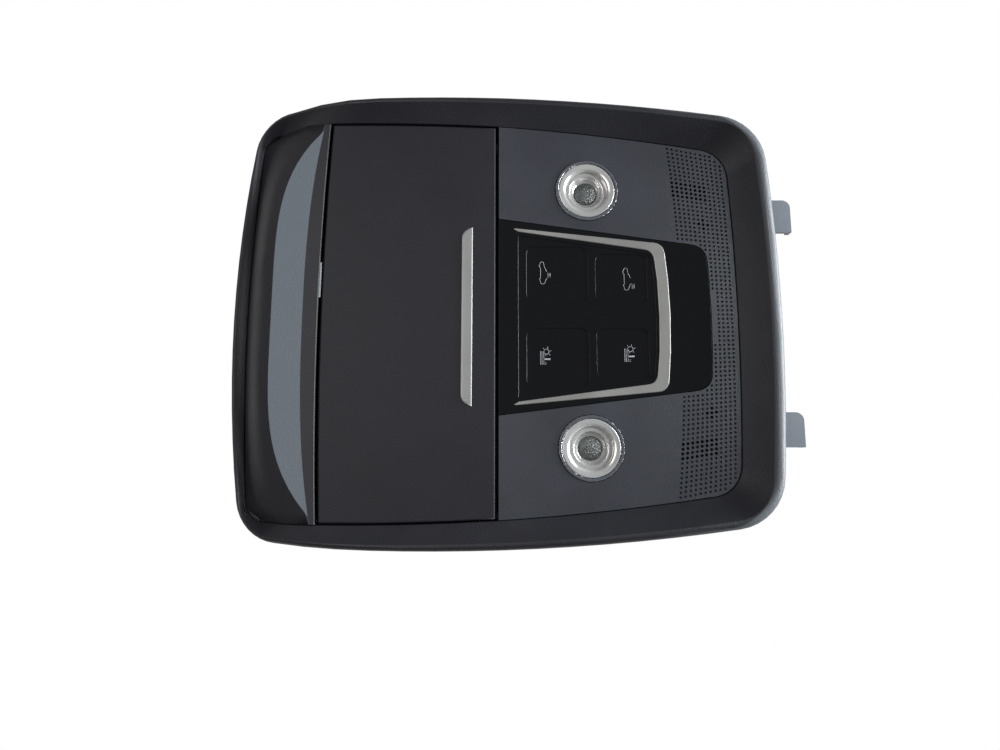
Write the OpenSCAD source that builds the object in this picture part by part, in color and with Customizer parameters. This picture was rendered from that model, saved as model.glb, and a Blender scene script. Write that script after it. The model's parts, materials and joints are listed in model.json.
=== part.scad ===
// Roof console for a car: two reading lamps, a touch panel, a perforated microphone
// area and a drop-down glasses compartment, held in one moulded carrier.
// It lies face up on its back. The origin is on the rear rest plane, under the middle
// of the parting gap between the compartment's lid and the lamp panel.

/* [Opening of the bezel] */
// Reach of the opening from the parting gap to the end panel's end
open_left = 121.2; // [119:0.1:123]
// Bow radius of that end
open_left_bow = 905; // [700:5:1200]
// Reach of the opening from the parting gap to the lamp panel's end
open_right = 113.4; // [112:0.1:116]
// Bow radius of that end
open_right_bow = 1250; // [900:10:1500]
// Largest half width of the opening
open_half = 95.9; // [95.5:0.1:97.5]
// Bow radius of the long sides
open_side_bow = 1133; // [1000:1:1300]
// Corner radius at the end panel
open_corner_left = 9.5; // [8:0.5:14]
// Corner radius at the lamp panel
open_corner_right = 15; // [12:0.5:18]

/* [Bezel] */
// Width of the bezel at the end panel
end_width = 6.6; // [6:0.1:7.5]
// Bow radius of the rim there
rim_left_bow = 500; // [450:5:700]
// Width of the bezel at the hooks
hook_width = 17.4; // [16.5:0.1:19]
// Bow radius of the rim there
rim_right_bow = 885; // [700:5:1000]
// Width of the bezel along the long sides
side_width = 10.7; // [10:0.1:12]
// Bow radius of the rim's long sides
rim_side_bow = 1000; // [900:5:1200]
// Rim corner radius at the end panel
rim_corner_left = 22; // [20:0.5:28]
// Rim corner radius at the hooks
rim_corner_right = 24.5; // [20:0.5:26]
// Wall of the bezel
bezel_wall = 2.2; // [1.8:0.1:2.4]
// Rise of the crest above the lid's face along the compartment
crest_rise = 6.3; // [5:0.1:7]
// Fall of the crest from the parting gap to the hooks
crest_fall = 0.9; // [0:0.1:2]
// Distance from the parting gap at which the crest starts to fall to the end panel
crest_start = 65; // [55:1:70]
// Rise of the crest above the opening's edge at the end panel
end_rise = 1; // [0.8:0.1:2]
// Share of the local width taken by the rounded outer lip
lip_share = 0.24; // [0.2:0.01:0.32]
// Drop of the rounded lip as a share of its width
lip_round = 0.9; // [0.7:0.05:1]
// Depth of the headliner edge below the lid's face
skirt_depth = 11; // [10.5:0.1:12]
// Further depth of that edge at the end panel
skirt_fall = 7.5; // [6.5:0.1:8]
// Thickness of the inner flange that stands on the carrier
flange_t = 1.8; // [1.6:0.1:2]

/* [Face] */
// Height of the lid's face above the rear rest plane
face_z = 46; // [45:0.5:50]
// Thickness of the face panels
panel_t = 2.5; // [2.2:0.1:2.6]
// Clear gap between a fixed panel and the bezel
seat_gap = 0.3; // [0.2:0.05:0.4]
// Clear gap between the lid and the bezel
lid_gap = 0.8; // [0.6:0.1:1]
// Width of the parting gap between lid and lamp panel
part_gap = 1.6; // [1.4:0.1:2]
// Tilt of the lamp panel, falling away from the lid
lamp_tilt = 2.4; // [1.8:0.1:2.8]

/* [End panel] */
// Distance from the parting gap to the middle of the end gap
end_gap_x = 83.3; // [82.8:0.1:84]
// Width of the end gap
end_gap = 1.4; // [1.2:0.1:1.8]
// Bow of the end gap over the lid's width
end_gap_bow = 2.7; // [2:0.1:3]
// Slope of the bright facet
facet_slope = 17; // [14:0.5:20]
// Width of the facet at the middle
facet_w = 13.4; // [12:0.1:14]
// Width of the flat strip beside the end gap at the middle
strip_w = 7; // [6:0.1:8]
// Drop of the panel's far edge at the middle
end_drop = 10.8; // [10.6:0.1:12]
// Drop of the panel's edge at its corners
corner_drop = 10.5; // [9:0.1:10.6]

/* [Compartment] */
// Distance of the hinge axis from the parting gap
hinge_x = 68.8; // [68:0.1:69.5]
// Depth of the hinge axis below the face
hinge_depth = 6; // [5.8:0.1:6.2]
// Radius of the steel hinge pins
pin_r = 1.5; // [1.4:0.05:1.6]
// Radial running clearance on the pins and the damper's shaft
run_clear = 0.05; // [0.03:0.01:0.08]
// Outer radius of the bin's far wall about the hinge axis
bin_r = 58; // [55:0.5:58.5]
// Depth of the bin's walls below the hinge axis
bin_depth = 33; // [28:0.5:34]
// Reach of the bin behind the hinge axis
bin_back = 8; // [7:0.5:8.5]
// Wall of the bin
bin_wall = 2; // [1.6:0.1:2.2]
// Thickness of the soft pad in the bin
liner_t = 1; // [0.8:0.1:1.5]
// Length of the satin strip on the lid
strip_len = 85.2; // [75:0.1:95]
// Width of the satin strip
strip_width = 5.2; // [4:0.1:6]
// Distance from the lid's free edge to the strip
strip_edge = 10.8; // [9:0.1:14]
// Length of the striker under the lid
striker_len = 8.5; // [7.5:0.1:9]
// Thickness of the striker
striker_w = 2.4; // [2:0.1:2.6]
// Radius of the hubs on the bin and of the ears on the carrier
hub_r = 3.2; // [3:0.1:3.4]
// Room at each end of the bin for the hinge ears and the damper
ear_w = 5.5; // [5.2:0.1:6]
// Clear gap between the bin's ends and the ears
ear_gap = 0.5; // [0.4:0.1:0.8]

/* [Damper] */
// Gear module
gear_m = 1; // [0.9:0.05:1]
// Teeth on a full sector circle
sector_teeth = 44; // [42:1:44]
// Teeth on the damper gear
gear_teeth = 11; // [10:1:12]
// Profile shift of the damper gear, in modules
gear_shift = 0.35; // [0.3:0.05:0.4]
// Thinning of each tooth for backlash
backlash = 0.12; // [0.08:0.02:0.16]
// Width of the sector
sector_w = 3; // [2.8:0.1:3]
// Direction of the damper from the hinge axis
damper_angle = -30; // [-34:1:-28]
// Radius of the damper's body
damper_r = 8; // [7:0.5:9]
// Radius of the damper's shaft
shaft_r = 1.2; // [1:0.1:1.4]
// Radius of the two fixing ears on the damper's body
damper_ear_r = 2.5; // [2.2:0.1:2.8]

/* [Latch] */
// Travel of the latch's plunger
latch_travel = 1.5; // [1:0.1:1.6]
// Half width of the latch's mouth
latch_half = 6.3; // [6:0.1:7]
// Height of the latch above the deck
latch_h = 12; // [11.5:0.1:12.2]
// Wall of the latch's mouth
latch_wall = 1.3; // [1.2:0.1:1.6]
// Clear gap between the striker and the mouth
latch_play = 1.1; // [1:0.1:1.2]
// Reach of the latch's foot beyond its mouth
latch_foot = 8; // [7:0.5:9]

/* [Lamps] */
// Distance of the lamps from the parting gap
lamp_x = 43; // [40:0.1:46]
// Half distance between the lamps
lamp_y = 61.5; // [60.5:0.1:62.5]
// Outer radius of a lamp's clear ring
lamp_r = 15; // [14.8:0.1:15.2]
// Width of that ring
ring_w = 1.45; // [1.3:0.05:1.6]
// Width of the bright ring inside it
chrome_w = 3.45; // [3.2:0.05:3.6]
// Radius of the rim of the lamp's dish
dish_r = 8.4; // [8.2:0.1:8.6]
// Depth of the dish's seat for the lens
dish_depth = 4.5; // [4:0.1:4.6]
// Radius of a lamp's centre lens
lens_r = 5.4; // [5:0.1:5.6]
// Radius of the collar behind the panel
collar_r = 18; // [17:0.5:19]

/* [Touch panel] */
// Half width of the panel at the parting gap
touch_half = 46.6; // [45:0.1:47]
// Reach of the panel from the parting gap
touch_reach = 100.6; // [98:0.1:101]
// Fall of the panel's sides
touch_taper = 0.127; // [0.11:0.001:0.14]
// Thickness of the panel
touch_t = 2; // [1.8:0.1:2.2]
// Height of the trim above the panel
trim_rise = 0.5; // [0.3:0.1:0.7]
// Depth of the trim in its groove
trim_sink = 0.6; // [0.4:0.1:0.8]
// Sink of the touch field inside the trim
field_sink = 0.3; // [0.2:0.05:0.4]
// Sink of each finger dimple in the field
dimple_sink = 0.35; // [0.2:0.05:0.4]
// Distance from the parting gap to the near dimples
dimple_start = 13.8; // [12:0.1:15]
// Distance from the parting gap to the middle between near and far dimples
dimple_mid = 44.6; // [42:0.1:46]
// Distance from the parting gap to the far dimples' ends
dimple_end = 70.8; // [68:0.1:71]
// Distance from the centre line to the dimples
dimple_in = 6; // [4:0.1:8]
// Outer half width of the near dimples
dimple_near = 33.4; // [31:0.1:34]
// Outer half width of the far dimples
dimple_far = 30; // [28:0.1:30.4]
// Half width of the lands between the near and far dimples
dimple_land = 1.8; // [1.4:0.1:2.5]
// Distance of the near signs from the parting gap
sign_near = 22.2; // [21:0.1:24]
// Distance of the far signs from the parting gap
sign_far = 61.5; // [60:0.1:62.5]
// Half distance between the signs across the panel
sign_y = 19; // [17:0.1:19.4]

/* [Perforation] */
// Radius of a hole
hole_r = 0.58; // [0.5:0.02:0.62]
// Radius of an open hole in front of a microphone
open_hole_r = 0.72; // [0.6:0.02:0.76]
// Depth of a blind hole
hole_depth = 1; // [0.6:0.1:1.4]
// Pitch of the columns
column_pitch = 2.11; // [2:0.01:2.3]
// Pitch of the rows
row_pitch = 2.17; // [2.1:0.01:2.3]
// Distance of the first column from the parting gap
column_x = 87.2; // [86:0.1:88]
// Least distance from a hole's centre to the panel's edge
hole_margin = 1.2; // [1:0.1:1.6]

/* [Electronics] */
// Reach of the circuit board from the parting gap
board_reach = 104; // [102:0.5:104]
// Half width of the circuit board
board_half = 75; // [72:0.5:76]
// Thickness of the circuit board
board_t = 1.6; // [1.2:0.1:2]
// Height of the board above the carrier's deck
board_lift = 2; // [1.5:0.1:3]
// Length of the connector's socket
socket_len = 22; // [18:0.5:26]
// Width of the connector's socket
socket_w = 9; // [7:0.5:10]
// Depth of the connector's socket
socket_depth = 10; // [8:0.5:11]

/* [Carrier] */
// Wall of the carrier
carrier_wall = 2; // [1.8:0.1:2.2]
// Depth of the deck's upper side below the face
deck_depth = 18; // [17.8:0.1:18.2]
// Distance from the deck's edge to the bezel's rim
deck_inset = 4.5; // [4:0.1:6]
// Thickness of the compartment well's floor
floor_t = 2.5; // [2:0.1:3]
// Distance from the opening's edge to the outside of the well
well_inset = 4.9; // [4.4:0.1:5.4]
// Radius of the fixing holes in the well's floor
fix_r = 2.6; // [2.2:0.1:3]
// Half distance between the fixing holes
fix_y = 60; // [50:1:65]
// Half distance between the hooks
hook_y = 52.5; // [48:0.5:56]
// Reach of the hooks from the parting gap
hook_reach = 144.5; // [142:0.5:147]
// Width of a hook
hook_w = 16.5; // [14:0.5:18]
// Depth of a hook's top below the face
hook_depth = 12.5; // [12:0.1:13]
// Height of the ribs under the deck
rib_h = 8; // [5:0.5:10]
// Radius of the rear feet
foot_r = 7; // [6:0.5:8]
// Thickness of the felt pads on the feet
pad_t = 1.5; // [1:0.1:2]
// Shank radius of the screws that hold the panels
screw_r = 1.5; // [1.3:0.1:1.6]
// Width of the steel roof clips
clip_w = 12; // [10:0.5:14]
// Thickness of the ribs under the deck
rib_t = 1.6; // [1.4:0.1:2]

/* [Hidden] */
$fn = 64;

// Heights
deck_z = face_z - deck_depth;
hinge_z = face_z - hinge_depth;
board_z = deck_z + board_lift;
board_top = board_z + board_t;
under_face = face_z - panel_t;

// Widths across the compartment, from the opening inwards
well_half = open_half - well_inset;
well_inner = well_half - carrier_wall;
ear_in = well_inner - ear_w;
bin_half = ear_in - ear_gap - sector_w;

// Outlines: four bowed sides joined by corner arcs, symmetric about the X axis
open_line = [open_left, open_left_bow, -70, open_half, open_side_bow,
             open_right, open_right_bow, open_corner_left, open_corner_right];
rim_line = [open_left + end_width, rim_left_bow, -32, open_half + side_width, rim_side_bow,
            open_right + hook_width, rim_right_bow, rim_corner_left, rim_corner_right];

function circles_meet(a, ra, b, rb, side) =
    let (d = norm(b - a), u = (b - a) / d, t = (ra * ra - rb * rb + d * d) / (2 * d))
    a + u * t + side * [-u.y, u.x] * sqrt(ra * ra - t * t);
function left_centre(o) = [o[1] - o[0], 0];
function side_centre(o) = [o[2], o[3] - o[4]];
function right_centre(o) = [o[5] - o[6], 0];
function left_corner(o) = circles_meet(left_centre(o), o[1] - o[7], side_centre(o), o[4] - o[7], -1);
function right_corner(o) = circles_meet(right_centre(o), o[6] - o[8], side_centre(o), o[4] - o[8], 1);
function turn_of(v) = atan2(v.y, v.x);
function arc(c, r, from, to, n, last = 0) =
    [for (i = [0:n - 1 + last]) c + r * [cos(from + (to - from) * i / n), sin(from + (to - from) * i / n)]];

// Upper half of an outline from its left apex to its right apex, set in by a distance
function half_outline(o, inset = 0) =
    let (cl = left_centre(o), cs = side_centre(o), cr = right_centre(o),
         fl = left_corner(o), fr = right_corner(o))
    concat(arc(cl, o[1] - inset, 180, turn_of(fl - cl), 6),
           arc(fl, o[7] - inset, turn_of(fl - cl), turn_of(fl - cs), 8),
           arc(cs, o[4] - inset, turn_of(fl - cs), turn_of(fr - cs), 14),
           arc(fr, o[8] - inset, turn_of(fr - cs), turn_of(fr - cr), 8),
           arc(cr, o[6] - inset, turn_of(fr - cr), 0, 6, 1));
function mirrored(h) = [for (i = [len(h) - 2:-1:1]) [h[i].x, -h[i].y]];
function outline(o, inset = 0) = let (h = half_outline(o, inset)) concat(h, mirrored(h));

// Half width of the opening at a place along X, set in by a distance
function open_y(x, inset = 0) =
    let (c = side_centre(open_line)) c.y + sqrt(pow(open_side_bow - inset, 2) - pow(x - c.x, 2));
// Left end of the opening at a half width
function open_x(y, inset = 0) =
    let (c = left_centre(open_line), f = left_corner(open_line), a = abs(y))
    a < f.y ? c.x - sqrt(pow(open_left_bow - inset, 2) - a * a)
            : f.x - sqrt(max(0, pow(open_corner_left - inset, 2) - pow(a - f.y, 2)));
function inside_opening(x, y, margin) =
    let (f = right_corner(open_line), c = right_centre(open_line), a = abs(y))
    x <= f.x ? a <= open_y(x, margin)
             : a <= f.y ? x <= c.x + sqrt(pow(open_right_bow - margin, 2) - a * a)
                        : norm([x - f.x, a - f.y]) <= open_corner_right - margin;

// A closed solid through a stack of closed outlines with as many points each
module skin(rings) {
    n = len(rings[0]);
    m = len(rings);
    polyhedron(points = [for (r = rings) each r],
               faces = concat([[for (i = [0:n - 1]) i]],
                              [for (k = [0:m - 2], i = [0:n - 1]) [k * n + i, (k + 1) * n + i, (k + 1) * n + (i + 1) % n]],
                              [for (k = [0:m - 2], i = [0:n - 1]) [k * n + i, (k + 1) * n + (i + 1) % n, k * n + (i + 1) % n]],
                              [[for (i = [n - 1:-1:0]) (m - 1) * n + i]]));
}
function at_height(line, z) = [for (p = line) [p.x, p.y, z]];

// Drop of the opening's edge below the lid's face
tip_x = -end_gap_x - end_gap / 2;
corner_x = left_corner(open_line).x - 0.4;
corner_y = open_y(corner_x);
shoulder = 1.7;
function edge_drop(p) =
    p.x >= 0 ? p.x * tan(lamp_tilt)
    : p.x > tip_x ? 0
    : p.x > corner_x ? corner_drop * pow((tip_x - p.x) / (tip_x - corner_x), shoulder)
    : corner_drop + (end_drop - corner_drop) * (1 - pow(min(1, abs(p.y) / corner_y), 3));
// Share of the way from the start of the crest's fall to the far end, 0 to 1
function end_share(x) = max(0, min(1, (-crest_start - x) / (open_left - crest_start)));
function crest_z(x) =
    face_z + crest_rise - (x > 0 ? crest_fall * x / open_right
                                 : (crest_rise + end_drop - end_rise) * pow(end_share(x), 2.1));

module bezel() {
    inner = outline(open_line);
    outer = outline(rim_line);
    n = len(inner);
    sections = [for (i = [0:n - 1])
        let (p = inner[i], w = norm(outer[i] - p), u = (outer[i] - p) / w,
             e = face_z - edge_drop(p), top = crest_z(p.x), rise = top - e,
             lip = lip_share * w, c = w - lip, drop = lip * lip_round,
             foot = face_z - skirt_depth - skirt_fall * pow(end_share(p.x), 1.5),
             under = top - bezel_wall * 1.1, far = w - bezel_wall)
        [for (q = concat([[0, deck_z], [0, e - 0.3], [0.4, e + 0.1], [c * 0.5, e + rise * 0.44],
                          [c - 0.8, top - 0.35], [c - 0.2, top - 0.06], [c + lip * 0.2, top]],
                         [for (k = [1:4]) [c + lip * (0.2 + 0.8 * sin(k * 22.5)), top - drop * (1 - cos(k * 22.5))]],
                         [[w + 0.4, foot], [w + 0.4 - bezel_wall, foot], [far, min(top - drop - 0.4, under)],
                          [min(c, far) - 0.6, under], [flange_t, e - bezel_wall],
                          [flange_t, deck_z]]))
            [p.x + u.x * q[0], p.y + u.y * q[0], q[1]]]];
    m = len(sections[0]);
    color([0.2, 0.2, 0.21])
        polyhedron(points = [for (s = sections) each s],
                   faces = concat(
                       [for (i = [0:n - 1], j = [0:m - 1]) [i * m + j, i * m + (j + 1) % m, (i + 1) % n * m + (j + 1) % m]],
                       [for (i = [0:n - 1], j = [0:m - 1]) [i * m + j, (i + 1) % n * m + (j + 1) % m, (i + 1) % n * m + j]]));
}

// Left and right side of the end gap at a half width
function gap_x(y, side) = -end_gap_x + side * end_gap / 2 + end_gap_bow * pow(y / open_half, 2);

module end_panel() {
    stations = 36;
    ends = corner_y - seat_gap - 0.1;
    rows = [for (k = [0:stations])
        let (v = 2 * k / stations - 1, a = abs(v) * open_half,
             right = gap_x(a, -1),
             crease = min(right - 1.2, -end_gap_x - end_gap / 2 - strip_w + (strip_w - 0.4) * pow(a / 92, 2.6)),
             crest = min(crease - 0.4, -end_gap_x - end_gap / 2 - strip_w - facet_w
                                       + (strip_w + facet_w - 0.6) * pow(a / 92, 4)),
             high = (crease - crest) * tan(facet_slope),
             left = open_x(v * ends, seat_gap), low = -edge_drop([left, v * ends]) - 0.2,
             top = concat([for (s = [0, 0.04, 0.12, 0.25, 0.45, 0.7, 1])
                               [left + (crest - left) * s, high - (high - low) * pow(1 - s, shoulder)]],
                          [[crease, 0], [right - 0.4, 0], [right, -0.4]]))
        [for (q = concat(top, [for (i = [len(top) - 1:-1:0]) [top[i][0], min(top[i][1], 0) - panel_t]]))
            [q[0], v * (q[0] > left_corner(open_line).x ? open_y(q[0], seat_gap) : ends), face_z + q[1]]]];
    color([0.28, 0.29, 0.31]) {
        skin(rows);
        for (y = [-58, 0, 58]) post(end_post_x, y, face_z - panel_t / 2, false);
    }
}

function bend(a, b, c, n) = [for (i = [0:n]) let (t = i / n) a * (1 - t) * (1 - t) + b * 2 * t * (1 - t) + c * t * t];

// Outline of the touch panel, grown by a distance
function touch_line(grow = 0) =
    let (side = function (x) touch_half - touch_taper * (x - part_gap / 2) + grow,
         r = touch_reach + grow,
         h = concat([[part_gap / 2, side(part_gap / 2)]],
                    bend([r - 9.1, side(r - 9.1)], [r - 0.9, side(r - 0.9)], [r - 0.7, 26.5], 6),
                    [[r - 0.25, 16], [r, 0]]))
    concat(h, [for (i = [len(h) - 2:-1:0]) [h[i].x, -h[i].y]]);
function outside_touch(x, y, margin) =
    let (a = abs(y), r = touch_reach, f = [r - 8.3, 26.5])
    x > r + margin - 0.9 * pow(a / 26.5, 2) || a > touch_half - touch_taper * x + margin
    || (x > f.x && a > f.y && norm([x - f.x, a - f.y]) > 7.5 + margin);

module lamp_plane() {
    translate([0, 0, face_z]) rotate([0, lamp_tilt, 0]) children();
}

// Perforation: columns bow with the opening's end and rows close up towards it
function column_bow(c) = 0.001285 - 0.0000426 * c;
function hole_at(c, k) =
    let (y = (k + 0.5) * row_pitch * (1 - c * column_pitch / 400))
    [column_x + c * column_pitch - y * y * column_bow(c) / 2, y];
function is_open(c, k) = (c <= 7 && k >= 27 && k <= 30) || abs(c - 6) + abs(k - 21) <= 1;

module holes(open_only) {
    for (c = [0:11], k = [0:40]) {
        p = hole_at(c, k);
        if ((!open_only || is_open(c, k)) && inside_opening(p.x, p.y, hole_margin + seat_gap)
            && outside_touch(p.x, p.y, hole_margin + seat_gap))
            for (s = [-1, 1]) translate([p.x, s * p.y]) circle(is_open(c, k) ? open_hole_r : hole_r, $fn = 24);
    }
}

module lamp_plate() {
    h = [for (p = half_outline(open_line, seat_gap)) if (p.x > part_gap / 2 + 0.5) p];
    upper = concat([[part_gap / 2, open_y(part_gap / 2, seat_gap)]], h);
    difference() {
        polygon(concat(upper, [for (i = [len(upper) - 2:-1:0]) [upper[i].x, -upper[i].y]]));
        polygon(touch_line(seat_gap));
        for (s = [-1, 1]) translate([lamp_x, s * lamp_y]) circle(lamp_r + seat_gap);
    }
}

// Height of the lamp panel's face at a distance from the parting gap
function face_at(x) = face_z - x * tan(lamp_tilt);
screw_places = [[10, 82], [10, -82], [74, 80.5], [74, -80.5]];
post_r = 3;
end_post_x = -94;

// Post under a panel, standing on the deck, with a pilot hole for its screw
module post(x, y, top, screwed = true) {
    translate([x, y, deck_z]) difference() {
        cylinder(h = top - deck_z, r = post_r);
        if (screwed) translate([0, 0, -1]) cylinder(h = 9, r = screw_r);
    }
}

module lamp_panel() {
    color([0.3, 0.31, 0.34]) {
        lamp_plane() {
            translate([0, 0, -hole_depth]) linear_extrude(hole_depth) difference() {
                lamp_plate();
                holes(false);
            }
            translate([0, 0, -panel_t]) linear_extrude(panel_t - hole_depth) difference() {
                lamp_plate();
                holes(true);
            }
        }
        for (p = screw_places) post(p.x, p.y, face_at(p.x) - panel_t / 2 - 0.5);
        post(108, 0, face_at(108) - panel_t / 2 - 0.5, false);
    }
}

// Touch panel and its U-shaped trim
trim_tip = [7.5, 41.8];
trim_bend = [74.3, 35.8];
trim_end = 81.3;
module trim_shape(gap) {
    h = concat([[trim_tip.x - gap, trim_tip.y + gap], [trim_tip.x + 1, trim_tip.y + 0.35 + gap]],
               bend(trim_bend + [0, gap], trim_bend + [4.9 + gap, -0.4 + gap], [trim_end - 1.6 + gap, 30], 6),
               [[trim_end - 0.5 + gap, 17], [trim_end + gap, 0]]);
    g = concat([[trim_end - 5.4 - gap, 0], [trim_end - 5.9 - gap, 17]],
               bend([trim_end - 6.9 - gap, 27], [trim_end - 7.4 - gap, 31.6 - gap], [trim_end - 11.4 - gap, 32.2 - gap], 5),
               [[trim_tip.x + 2.4, trim_tip.y - 1.4 - gap]]);
    polygon(concat(h, [for (i = [len(h) - 2:-1:0]) [h[i].x, -h[i].y]],
                   [for (i = [len(g) - 1:-1:1]) [g[i].x, -g[i].y]], g));
}
module touch_trim() {
    color([0.62, 0.61, 0.58]) lamp_plane() translate([0, 0, -trim_sink]) linear_extrude(trim_sink + trim_rise)
        trim_shape(0);
}
module touch_panel() {
    color([0.09, 0.08, 0.09]) lamp_plane() difference() {
        translate([0, 0, -touch_t]) linear_extrude(touch_t) polygon(touch_line());
        translate([0, 0, -trim_sink]) linear_extrude(trim_sink + 1) trim_shape(0.05);
        translate([0, 0, -field_sink]) linear_extrude(1) touch_field();
        for (s = [0, 1]) mirror([0, s, 0]) translate([0, 0, -field_sink - dimple_sink]) linear_extrude(1) {
            dimple(dimple_start, dimple_mid - dimple_land, dimple_near);
            dimple(dimple_mid + dimple_land, dimple_end, dimple_far);
        }
    }
}
module dimple(x0, x1, y1) {
    translate([0, (dimple_in + y1) / 2]) rounded(x0, x1, (y1 - dimple_in) / 2, 4);
}
// Touch field: what lies between the arms of the trim, less a narrow land
module touch_field() {
    land = 1.3;
    x1 = trim_end - 5.4 - land;
    h = concat([[x1, 0], [x1 - 0.5, 17]],
               bend([x1 - 1.4, 27], [x1 - 1.8, 31.4 - land], [x1 - 5.8, 32 - land], 5),
               [[trim_tip.x + 2.4, trim_tip.y - 1.8 - land]]);
    polygon(concat(h, [for (i = [len(h) - 1:-1:1]) [h[i].x, -h[i].y]]));
}

// White block that leads light to the four signs of the touch panel
guide_wall = 2;
window = [15, 17];
module light_guide() {
    x0 = sign_near - window.x / 2 - guide_wall;
    x1 = sign_far + window.x / 2 + guide_wall;
    half = sign_y + window.y / 2 + guide_wall;
    tall = face_z - board_top;
    color([0.9, 0.9, 0.88]) difference() {
        lamp_plane() translate([0, 0, -touch_t - tall]) linear_extrude(tall) difference() {
            translate([x0, -half]) square([x1 - x0, 2 * half]);
            for (x = [sign_near, sign_far], s = [-1, 1]) translate([x, s * sign_y]) square(window, center = true);
            translate([chip_x, 0]) square([sign_far - sign_near - window.x - 2 * guide_wall, 22], center = true);
        }
        translate([x0 - 10, -half - 1, board_top - tall]) cube([x1 - x0 + 20, 2 * half + 2, tall]);
    }
}

// Circuit board with its parts
chip_x = (sign_near + sign_far) / 2;
stake_places = [for (p = [[13, board_half - 9], [board_reach - 7, board_half / 2 - 1.5]], s = [1, -1]) [p.x, s * p.y]];
stake_r = 1.2;
module main_board() {
    x0 = 8;
    color([0.1, 0.35, 0.2]) translate([0, 0, board_z]) linear_extrude(board_t) difference() {
        polygon([[x0, -board_half + 8], [x0 + 8, -board_half], [board_reach - 8, -board_half],
                 [board_reach, -board_half + 8], [board_reach, board_half - 8],
                 [board_reach - 8, board_half], [x0 + 8, board_half], [x0, board_half - 8]]);
        for (p = stake_places) translate(p) circle(stake_r + 0.1);
    }
}
module touch_chip() {
    color([0.08, 0.08, 0.09]) translate([chip_x, 0, board_top]) difference() {
        translate([-5, -5, 0]) cube([10, 10, 1.4]);
        translate([-3.8, 3.8, 1.2]) cylinder(h = 1, r = 0.5);
    }
}
socket_wall = 1.2;
socket_at = [58, -20];
module connector() {
    drop = socket_depth + 3;
    color([0.12, 0.12, 0.13]) translate([socket_at.x, socket_at.y, board_z]) {
        difference() {
            translate([-socket_len / 2 - socket_wall, -socket_w / 2 - socket_wall, -drop])
                cube([socket_len + 2 * socket_wall, socket_w + 2 * socket_wall, drop]);
            translate([-socket_len / 2, -socket_w / 2, -drop - 1]) cube([socket_len, socket_w, socket_depth + 1]);
            translate([-3, socket_w / 2 - 1, -drop - 1]) cube([6, 4, 4]);
        }
        for (i = [-3.5:3.5], s = [-1, 1])
            translate([i * 2.5 - 0.32, s * 1.6 - 0.32, -drop + 5.5]) cube([0.64, 0.64, socket_depth - 4.5]);
    }
}
module led(side) {
    color([0.95, 0.93, 0.75]) translate([lamp_x, side * lamp_y, board_top]) difference() {
        translate([-2, -2, 0]) cube([4, 4, 1.1]);
        translate([0, 0, 0.7]) cylinder(h = 1, r = 1.5);
    }
}

// Lamps: turned parts stacked on a common axis square to the lamp panel
module at_lamp(side) {
    lamp_plane() translate([lamp_x, side * lamp_y, 0]) children();
}
chrome_r = lamp_r - ring_w - 0.2;
chrome_in = chrome_r - chrome_w;
dish_out = chrome_in + 0.8;
module lamp_ring(side) {
    color([0.75, 0.77, 0.8]) at_lamp(side) rotate_extrude()
        polygon([[lamp_r - ring_w, -panel_t], [lamp_r, -panel_t], [lamp_r, 0.3], [lamp_r - 0.3, 0.6],
                 [lamp_r - ring_w + 0.35, 0.6], [lamp_r - ring_w, 0.3]]);
}
module lamp_chrome(side) {
    color([0.82, 0.82, 0.83]) at_lamp(side) rotate_extrude()
        polygon(concat([[chrome_r - 0.95, -panel_t], [chrome_r, -panel_t]],
                       bend([chrome_r, 0.1], [chrome_r, 0.5], [chrome_r - 0.7, 0.45], 4),
                       bend([chrome_r - 0.8, 0.3], [chrome_in + 0.4, 0.3], [chrome_in, -0.9], 6),
                       [[chrome_in, -1.9], [chrome_in + 1, -1.9], [chrome_r - 0.95, -0.9]]));
}
module lamp_dish(side) {
    color([0.8, 0.8, 0.81]) at_lamp(side) rotate_extrude()
        polygon(concat([[lens_r + 0.1, -dish_depth], [lens_r + 0.1, -dish_depth - 0.9], [lens_r + 1.4, -dish_depth - 0.9],
                        [dish_out - 1.3, -2.9], [dish_out, -2.9], [dish_out, -1.9]],
                       bend([dish_r + 0.6, -1.9], [dish_r - 0.2, -1.2], [dish_r - 0.9, -2.3], 4),
                       bend([dish_r - 1.1, -2.6], [lens_r + 1, -dish_depth + 0.4], [lens_r + 0.1, -dish_depth], 4)));
}
module lamp_lens(side) {
    seat = -dish_depth - 0.9;
    color([0.85, 0.87, 0.9]) at_lamp(side) rotate_extrude()
        polygon(concat([[0, seat - 1], [lens_r + 1.2, seat - 1], [lens_r + 1.2, seat], [lens_r, seat]],
                       [for (k = [0:6]) [lens_r * cos(k * 15), 0.1 - dish_depth + 1.4 * sin(k * 15)]]));
}
module lamp_housing(side) {
    seat = chrome_r - 1.05;
    color([0.15, 0.15, 0.16]) difference() {
        at_lamp(side) rotate_extrude()
            polygon([[seat, -panel_t], [collar_r, -panel_t], [collar_r, -4], [lens_r + 8.8, -4], [lens_r + 7.1, -8],
                     [lens_r + 5.2, -16], [lens_r + 3.8, -16], [lens_r + 5.6, -8], [lens_r + 6.2, -4.2],
                     [dish_out - 0.7, -4.2], [dish_out - 0.7, -2.9], [seat, -2.9]]);
        translate([lamp_x, side * lamp_y, board_top - 5]) cylinder(h = 5, r = collar_r);
    }
}

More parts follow.
